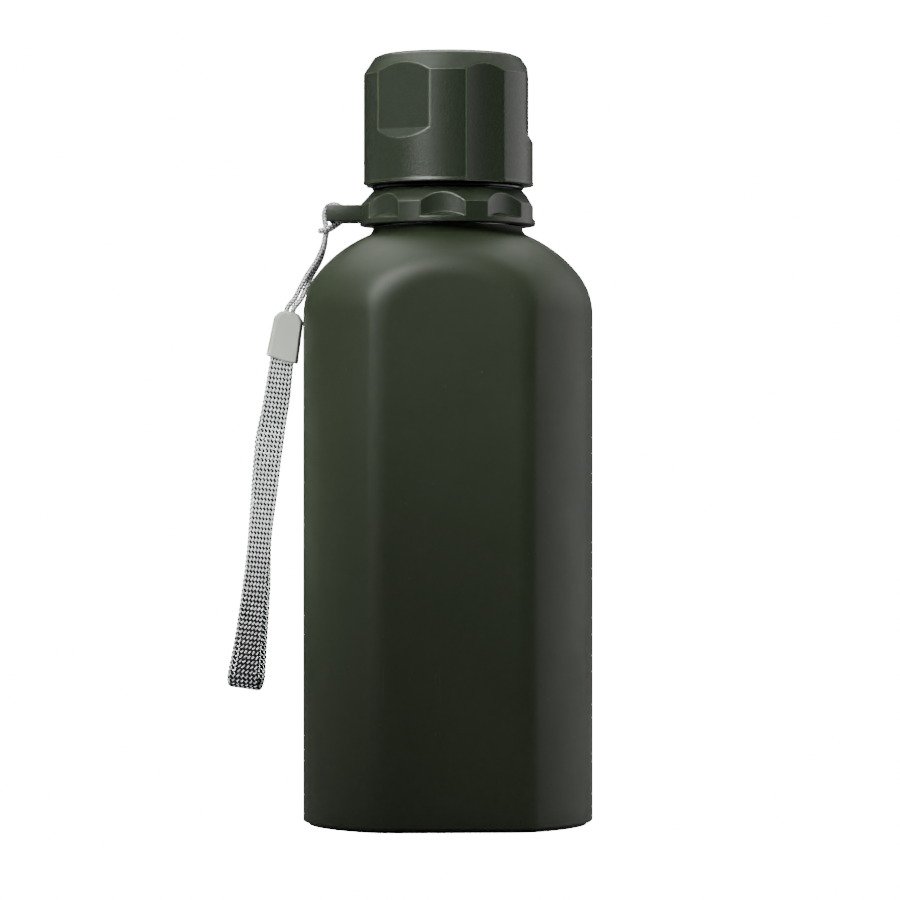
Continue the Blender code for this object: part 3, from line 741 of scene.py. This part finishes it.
def make_mouthpiece():
    black = plain("black_plastic", (0.012, 0.012, 0.013), 0.22, 2.0, 0.004)
    low, high = FLANGE_Z
    section = ring_section([
        (SPOUT_BORE_R, COLLAR_TOP_Z, 0.2), (SKIRT_R, COLLAR_TOP_Z, 0.2), (SKIRT_R, SKIRT_FOOT_Z, 0.25),
        (SKIRT_OUTER_R, SKIRT_FOOT_Z, 0.25), (SKIRT_OUTER_R, low, 0.1), (FLANGE_R, low, 0.2),
        (FLANGE_R, high, 0.2), (SPOUT_R, high, 0.5), (SPOUT_R, SPOUT_TOP_Z, 0.7),
        (SPOUT_BORE_R, SPOUT_TOP_Z, 0.7)], 0.17)

    def radius(r, z, angle):
        spout = SPOUT_RIDGE * ridge(angle, z, *SPOUT_THREAD)
        skirt = SKIRT_RIDGE * ridge(angle, z, *SKIRT_THREAD)
        value = r + np.where(np.abs(r - SPOUT_R) < 0.02, spout, 0.0)
        return value - np.where(np.abs(r - SKIRT_R) < 0.02, skirt, 0.0)
    turned("mouthpiece_fine", section, radius, 288, [black], "collar", ["mouthpiece"],
           loop=True)


def make_gaskets():
    rubber = silicone()
    for node, body, inner, outer, low, high in GASKETS:
        corners = [(inner, low, 0.25), (outer, low, 0.25), (outer, high, 0.25), (inner, high, 0.25)]
        turned(node + "_fine", ring_section(corners, 0.8), None, 160, [rubber], body, [node],
               loop=True)


# ---------------------------------------------------------------- cap

def cap_sides(z, angle):
    """The three hollow full-height flats, and the three short ones that end in a sloped step."""
    out, height = SHORT_FLAT_STEP
    step = out * np.clip((SHORT_FLAT_FOOT_Z - z) / height, 0, 1.3)
    long_side = scoop_side(angle, LONG_FLATS_AT, LONG_FLAT + LONG_FLAT_R, LONG_FLAT_R)
    return long_side, flat_side(angle, SHORT_FLATS_AT, SHORT_FLAT) + step


def cap_radius(r, z, angle):
    long_side, short_side = cap_sides(z, angle)
    cut = soft_min(soft_min(r, long_side, 0.22), short_side, 0.22)
    return np.where(r > CAP_SKIN_R, cut, r)


def cap_edges(r, z, angle):
    """The flats' outlines, their steps, the line under the chamfer and the foot, which get the pale edge
    colour: partly rubbed wear, partly a painted highlight.
    """
    long_side, short_side = cap_sides(z, angle)
    cut = np.minimum(long_side, short_side)
    rim = np.abs(r - cut) < np.where(r > 22.0, 0.09, 0.14)
    step = (np.abs(z - SHORT_FLAT_FOOT_Z) < 0.15) & (short_side < r)
    chamfer = (np.abs(z - CAP_CONE_Z) < 0.16) & (cut > r)
    foot = z < CAP_FOOT_Z + 0.25
    return (r > CAP_SKIN_R) & (rim | step | chamfer | foot)


def make_cap(plastic, worn_and_highlit):
    outline = rounded([
        (END_R, 196.6, 0), (16.4, 196.6, 0.4), (CAP_BORE_R, 194.6, 0.4), (CAP_BORE_R, CAP_FOOT_Z, 0.3),
        (CAP_LIP_R, CAP_FOOT_Z, 0.15), (CAP_LIP_R, 165.0, 0.1), (CAP_R, 165.7, 0.3), (CAP_R, CAP_CONE_Z, 0.3),
        (18.95, 197.7, 0.9), (17.2, CAP_TOP_Z, 0.8), (END_R, CAP_TOP_Z, 0)], False, 5)
    section = [point for i, point in enumerate(divided(outline, 0.2)) if keep_row(point, i)]
    turned("cap_grip", section, cap_radius, 640, [plastic, worn_and_highlit], "cap", ["cap_shell"],
           edges=cap_edges)


def keep_row(point, i):
    """Inside the cap and on its flat top every eighth row is enough."""
    r, z = point
    plain_inside = r < CAP_BORE_R + 0.02 and z < 194.0
    plain_top = r < 16.0
    return not (plain_inside or plain_top) or i % 8 == 0


def make_liner():
    white = plain("natural_plastic", (0.72, 0.72, 0.68), 0.4, 2.0, 0.005)
    section = divided(rounded([
        (END_R, LINER_ROOF_Z, 0), (LINER_BORE_R, LINER_ROOF_Z, 0.5), (LINER_BORE_R, LINER_FOOT_Z, 0.2),
        (LINER_R, LINER_FOOT_Z, 0.2), (LINER_R, 194.0, 0.3), (16.6, LINER_TOP_Z, 0.3),
        (END_R, LINER_TOP_Z, 0)], False), 0.2)

    def radius(r, z, angle):
        thread = SPOUT_RIDGE * ridge(angle, z, *LINER_THREAD)
        return r - np.where(np.abs(r - LINER_BORE_R) < 0.02, thread, 0.0)
    turned("cap_liner_fine", section, radius, 288, [white], "cap", ["cap_liner"])


# ---------------------------------------------------------------- strap

def smooth_line(points, count):
    """Evenly spaced points on a smooth (Catmull-Rom) curve through the given points."""
    points = [Vector(p) for p in points]
    ends = [2 * points[0] - points[1], *points, 2 * points[-1] - points[-2]]
    dense = []
    for a, b, c, d in zip(ends, ends[1:], ends[2:], ends[3:]):
        for i in range(24):
            t = i / 24
            dense.append(0.5 * (2 * b + (c - a) * t + (2 * a - 5 * b + 4 * c - d) * t ** 2
                                + (3 * b - a - 3 * c + d) * t ** 3))
    dense.append(points[-1])
    dense = np.array([tuple(p) for p in dense])
    run = np.concatenate([[0], np.cumsum(np.linalg.norm(np.diff(dense, axis=0), axis=1))])
    want = np.linspace(0, run[-1], count)
    return np.stack([np.interp(want, run, dense[:, k]) for k in range(3)], -1)


def clip_axes():
    down = Vector((CLIP_FOOT[0] - CLIP_TOP[0], 0, CLIP_FOOT[1] - CLIP_TOP[1])).normalized()
    return down, Vector((-down.z, 0, down.x))


def on_clip(across, y, down):
    down_axis, across_axis = clip_axes()
    return Vector((CLIP_TOP[0], y, CLIP_TOP[1])) + down_axis * down + across_axis * across


def cord_points(count):
    """The cord's whole route: one half from the clip up round the bar to the bight, then the other half."""
    bar_x, bar_z = BAR_AT
    across_axis = clip_axes()[1]
    centres = [(on_clip(0, 0, down), 90) for down in (4.1, 1.6, -0.8)]
    free = ((-38.9, 135.6, 75), (-37.6, 138.2, 60), (-35.9, 141.6, 42), (-33.6, 145.4, 25), (-32.2, 149.0, 8),
            (-31.7, 151.6, 0), (-31.4, 153.4, 0), (-31.75, 155.4, 0))
    centres += [(Vector((x, 0, z)), turn) for x, z, turn in free]
    halves = []
    for side in (-1, 1):
        half = []
        for centre, turn in centres:
            a = math.radians(turn)
            aside = across_axis * math.sin(a) + Vector((0, math.cos(a), 0))
            half.append(centre + aside * side * CORD_APART)
        for degrees in (180, 135, 90, 45, 0, -40):
            a = math.radians(degrees)
            y = side * (0.9 + 0.3 * (180 - degrees) / 220)
            half.append(Vector((bar_x + WRAP_R * math.cos(a), y, bar_z + WRAP_R * math.sin(a))))
        for x, y, z in ((-29.1, 1.75, 154.7), (-30.6, 2.3, 153.8), (-32.0, 2.05, 153.3), (-32.9, 1.1, 153.2)):
            half.append(Vector((x, side * y, z)))
        halves.append(half)
    return smooth_line(halves[0] + halves[1][::-1], count)


def carried_frames(line):
    """Tangent and two sides at each point of a line, turned as little as possible from point to point."""
    tangent = np.gradient(line, axis=0)
    tangent /= np.linalg.norm(tangent, axis=1)[:, None]
    side = np.zeros_like(line)
    start = np.cross(tangent[0], (0.0, 1.0, 0.0))
    side[0] = start / np.linalg.norm(start)
    for i in range(1, len(line)):
        kept = side[i - 1] - tangent[i] * np.dot(side[i - 1], tangent[i])
        side[i] = kept / np.linalg.norm(kept)
    return tangent, side, np.cross(tangent, side)


def strand_tubes(centres, out, width, thick, sides):
    """Flat-oval tubes along centre lines. centres and out are strands x points x 3; width is per point."""
    tangent = np.gradient(centres, axis=1)
    tangent /= np.linalg.norm(tangent, axis=2)[:, :, None]
    across = np.cross(tangent, out)
    across /= np.linalg.norm(across, axis=2)[:, :, None]
    normal = np.cross(across, tangent)
    turn = np.arange(sides) * TAU / sides
    wide = np.broadcast_to(width, centres.shape[1])[None, :, None, None]
    ring = (across[:, :, None] * wide * (np.cos(turn) / 2)[:, None]
            + normal[:, :, None] * (thick / 2 * np.sin(turn))[:, None])
    verts = (centres[:, :, None] + ring).reshape(-1, 3)
    strands, points = centres.shape[:2]
    quads, caps = [], []
    for s in range(strands):
        index, faces = grid_faces(points, sides, False, s * points * sides)
        quads.append(faces[:, ::-1])
        caps += [index[0], index[-1][::-1]]
    return verts, np.concatenate(quads), caps


def strands_piece(name, groups, materials, body, nodes):
    """One mesh from groups of strands; each group has its own material."""
    verts, faces, slots, count = [], [], [], 0
    for number, (points, quads, caps) in enumerate(groups):
        verts.append(points)
        faces.append(quads + count)
        slots.append(np.full(len(quads), number))
        count += len(points)
    cap_faces, cap_slots, count = [], [], 0
    for number, (points, quads, caps) in enumerate(groups):
        for cap in caps:
            centre = cap + count
            for i in range(1, len(cap) - 1):
                cap_faces.append((centre[0], centre[i], centre[i + 1]))
                cap_slots.append(number)
        count += len(points)
    faces = [np.concatenate(faces), np.array(cap_faces)]
    slots = np.concatenate(slots + [np.array(cap_slots)])
    return new_piece(name, np.concatenate(verts), faces, materials, body, nodes, slots)


def make_cord(clip):
    """Round braid of white carriers one way and grey ones the other, hitched round the lug's bar."""
    line = cord_points(2400)
    length = float(np.linalg.norm(np.diff(line, axis=0), axis=1).sum())
    run = np.linspace(0, length, len(line))
    tangent, side, other = carried_frames(line)
    groups = []
    for way in (1, -1):
        centres, outs = [], []
        for k in range(4):
            turn = way * TAU * run / CORD_PITCH + TAU * k / 4
            out = side * np.cos(turn)[:, None] + other * np.sin(turn)[:, None]
            weave = way * np.cos(4 * TAU * run / CORD_PITCH)
            radius = CORD_D / 2 - 0.20 + 0.08 * weave
            centres.append(line + out * radius[:, None])
            outs.append(out)
        groups.append(strand_tubes(np.array(centres), np.array(outs), 0.52 if way > 0 else 0.36, 0.28, 6))
    groups.append(strand_tubes(line[None], side[None], 0.9, 0.9, 8))
    white = yarn("cord_white", (0.92, 0.91, 0.93), (0.74, 0.73, 0.75), 0.75)
    grey = yarn("cord_grey", (0.16, 0.15, 0.165), (0.08, 0.075, 0.085), 0.75)
    # The core is near black so that the gaps between the carriers show painted shade.
    core_shade = yarn("cord_core_painted_shade", (0.05, 0.05, 0.055), (0.03, 0.03, 0.03), 0.9)
    cord = strands_piece("strap_cord_braid", groups, [white, grey, core_shade], "strap",
                         ["strap_cord"])
    path = cord_points(160) * MM


def clip_length():
    return (Vector(CLIP_FOOT) - Vector(CLIP_TOP)).length


def webbing_path(step):
    """The loop's middle line as (along the strap, y) points, the strap's spine, and the lengths of both."""
    in_clip = clip_length() - WEB_START
    ends = [on_clip(0, 0, WEB_START), on_clip(0, 0, clip_length())]
    spine = smooth_line(ends + [(x, 0, z) for x, z in STRAP_LINE], 400)
    run = float(np.linalg.norm(np.diff(spine, axis=0), axis=1).sum())
    down = np.linspace(0, run - WEB_LOOP_R, 200)
    leg = WEB_LEG_Y + (WEB_LOOP_R - WEB_LEG_Y) * smooth_step(down, in_clip, in_clip + WEB_APART)
    turn = np.radians(np.linspace(0, 180, 61)[1:-1])
    path = np.concatenate([
        np.stack([down, leg], -1),
        np.stack([run - WEB_LOOP_R + WEB_LOOP_R * np.sin(turn), WEB_LOOP_R * np.cos(turn)], -1),
        np.stack([down, -leg], -1)[::-1]])
    along = np.concatenate([[0], np.cumsum(np.linalg.norm(np.diff(path, axis=0), axis=1))])
    count = int(along[-1] / step) + 1
    want = np.linspace(0, along[-1], count)
    return np.stack([np.interp(want, along, path[:, k]) for k in (0, 1)], -1), spine, run, float(along[-1])


def strap_place(path, spine, run):
    """Middle line and across direction in the frame for points (along the strap, y).

    The rear leg bows to one side half way down and lies a little to the other side at the foot.
    """
    t = np.linspace(0, run, len(spine))
    tangent = np.gradient(spine, axis=0)
    tangent /= np.linalg.norm(tangent, axis=1)[:, None]
    centre = np.stack([np.interp(path[:, 0], t, spine[:, k]) for k in range(3)], -1)
    direction = np.stack([np.interp(path[:, 0], t, tangent[:, k]) for k in range(3)], -1)
    centre += direction * np.maximum(path[:, :1] - run, 0)
    centre[:, 1] += path[:, 1]
    across = np.stack([-direction[:, 2], 0 * direction[:, 0], direction[:, 0]], -1)
    down, y = path.T
    aside = WEB_ASIDE * smooth_step(down, run - 32, run) * (0.5 + 0.5 * y / WEB_LOOP_R)
    aside -= WEB_BOW * smooth_step(down, 15, 28) * (1 - smooth_step(down, 50, 66)) * smooth_step(y, 0, 0.7)
    return centre + across * aside[:, None], across


def make_webbing():
    """Tubular braid pressed flat: white carriers one way, black the other, one over one."""
    path, spine, run, length = webbing_path(0.16)
    centre, across = strap_place(path, spine, run)
    tangent = np.gradient(centre, axis=0)
    tangent /= np.linalg.norm(tangent, axis=1)[:, None]
    normal = np.cross(across, tangent)
    along = np.linspace(0, length, len(path))
    straight, bend = WEB_W - 1.0, math.pi * WEB_EDGE_R
    perimeter = 2 * (straight + bend)
    columns = 2 * round(perimeter / 2)
    spacing = perimeter / columns
    wide = np.interp(path[:, 0] - clip_length() + WEB_START, WEB_AT, WEB_SPREAD)
    groups = []
    for way in (1, -1):
        centres, outs = [], []
        for k in range(columns):
            p = (k * spacing + way * along * spacing / WEB_PITCH) % perimeter
            x, y, nx, ny = stadium(p, straight, bend, WEB_EDGE_R)
            lift = 0.19 * way * np.cos(TAU * along / WEB_PITCH)
            out = across * nx[:, None] + normal * ny[:, None]
            centres.append(centre + across * (x * wide)[:, None] + normal * y[:, None] + out * lift[:, None])
            outs.append(out)
        # Towards the foot the white carriers narrow and the black ones widen, so the webbing is darker
        # towards the bottom.
        low = smooth_step(path[:, 0], 0.45 * run, run)
        width = 0.64 - 0.27 * low if way > 0 else 0.58 + 0.18 * low
        groups.append(strand_tubes(np.array(centres), np.array(outs), width, 0.30, 5))
    white = yarn("webbing_white", (0.97, 0.97, 0.97), (0.88, 0.88, 0.89), 0.7)
    black = yarn("webbing_black", (0.012, 0.012, 0.013), (0.006, 0.006, 0.007), 0.8)
    webbing = strands_piece("webbing_braid", groups, [white, black], "strap", ["webbing"])


def stadium(p, straight, bend, radius):
    """Position and outward direction on a flat oval of two straight sides and two round ends."""
    x, y, nx, ny = (np.zeros_like(p) for _ in range(4))
    first = p < straight
    x[first], y[first], ny[first] = p[first] - straight / 2, radius, 1
    right = (p >= straight) & (p < straight + bend)
    a = math.pi / 2 - (p[right] - straight) / radius
    x[right], y[right] = straight / 2 + radius * np.cos(a), radius * np.sin(a)
    nx[right], ny[right] = np.cos(a), np.sin(a)
    second = (p >= straight + bend) & (p < 2 * straight + bend)
    x[second], y[second], ny[second] = straight / 2 - (p[second] - straight - bend), -radius, -1
    left = p >= 2 * straight + bend
    a = -math.pi / 2 - (p[left] - 2 * straight - bend) / radius
    x[left], y[left] = -straight / 2 + radius * np.cos(a), radius * np.sin(a)
    nx[left], ny[left] = np.cos(a), np.sin(a)
    return x, y, nx, ny


def clip_outline():
    """Arched top, sides that spread a little and a slanted, bowed foot, as (across, down) points."""
    foot = clip_length()
    arch_w, foot_w = CLIP_HALF_W
    corners = [(-arch_w, 2.1, 1.5), (-2.3, 0.3, 1.6), (0, 0, 6.0), (2.3, 0.3, 1.6), (arch_w, 2.1, 1.5),
               (foot_w, foot + 0.4, 0.35), (1.5, foot + 0.35, 4.0), (-1.5, foot, 4.0),
               (-foot_w, foot - 0.45, 0.35)]
    return ring_section(corners, 0.3)


def make_clip():
    """Two moulded halves: broad bevel along the outer side, narrow ones elsewhere, a fine seam between."""
    grey = plain("grey_plastic", (0.365, 0.392, 0.338), 0.42, 2.2, 0.04)
    outline = np.array(clip_outline())
    low, high = outline.min(0), outline.max(0)
    face_low, face_high = np.array((-2.95, 0.55)), np.array((3.75, high[1] - 0.3))
    face = face_low + (outline - low) / (high - low) * (face_high - face_low)
    middle = outline.mean(0)
    # Each row: height from the seam, inset towards the middle, share of the way to the face's outline
    rows = ((0.04, 0.03, 0), (0.16, 0, 0), (CLIP_HALF_T - 0.72, 0, 0), (CLIP_HALF_T - 0.60, 0, 0.05),
            (CLIP_HALF_T - 0.10, 0, 0.90), (CLIP_HALF_T, 0, 1.0), (CLIP_HALF_T, 0.05, 1.0),
            (CLIP_HALF_T, 0.5, 1.0))
    halves = []
    for side, node in ((-1, "clip_front"), (1, "clip_back")):
        points = []
        for y, inset, share in rows:
            ring = outline + (face - outline) * share
            ring = ring + (middle - ring) * inset
            points += [tuple(on_clip(u, side * y, v)) for u, v in ring]
        index, quads = grid_faces(len(rows), len(outline), False)
        points, tris = closed_ends(np.array(points), index, len(outline))
        quads, tris = outward(points - points.mean(0), quads, tris)
        piece = new_piece(node + "_fine", points, [quads, tris], [grey], "strap", [node])
        halves.append(piece)
    return halves


def finish_nodes():
    """A better material on the one CAD node that stays."""
    steel = plain("plated_steel", (0.6, 0.6, 0.6), 0.3, 2.0, 0.004, 1.0)
    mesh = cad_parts["crimp"].data
    mesh.materials.clear()
    mesh.materials.append(steel)


make_camera()
make_cord(make_clip())
make_webbing()
make_light()
make_floor()
plastic = olive_plastic()
# The edge material is 3.2 times lighter: partly rubbed wear, partly a painted highlight on the cap's and
# collar's edges.
worn_and_highlit_edge = olive_plastic("olive_worn_and_highlit_edge", 3.2)
make_bottle()
make_base_pad()
make_collar(plastic, worn_and_highlit_edge)
make_mouthpiece()
make_gaskets()
make_cap(plastic, worn_and_highlit_edge)
make_liner()
finish_nodes()
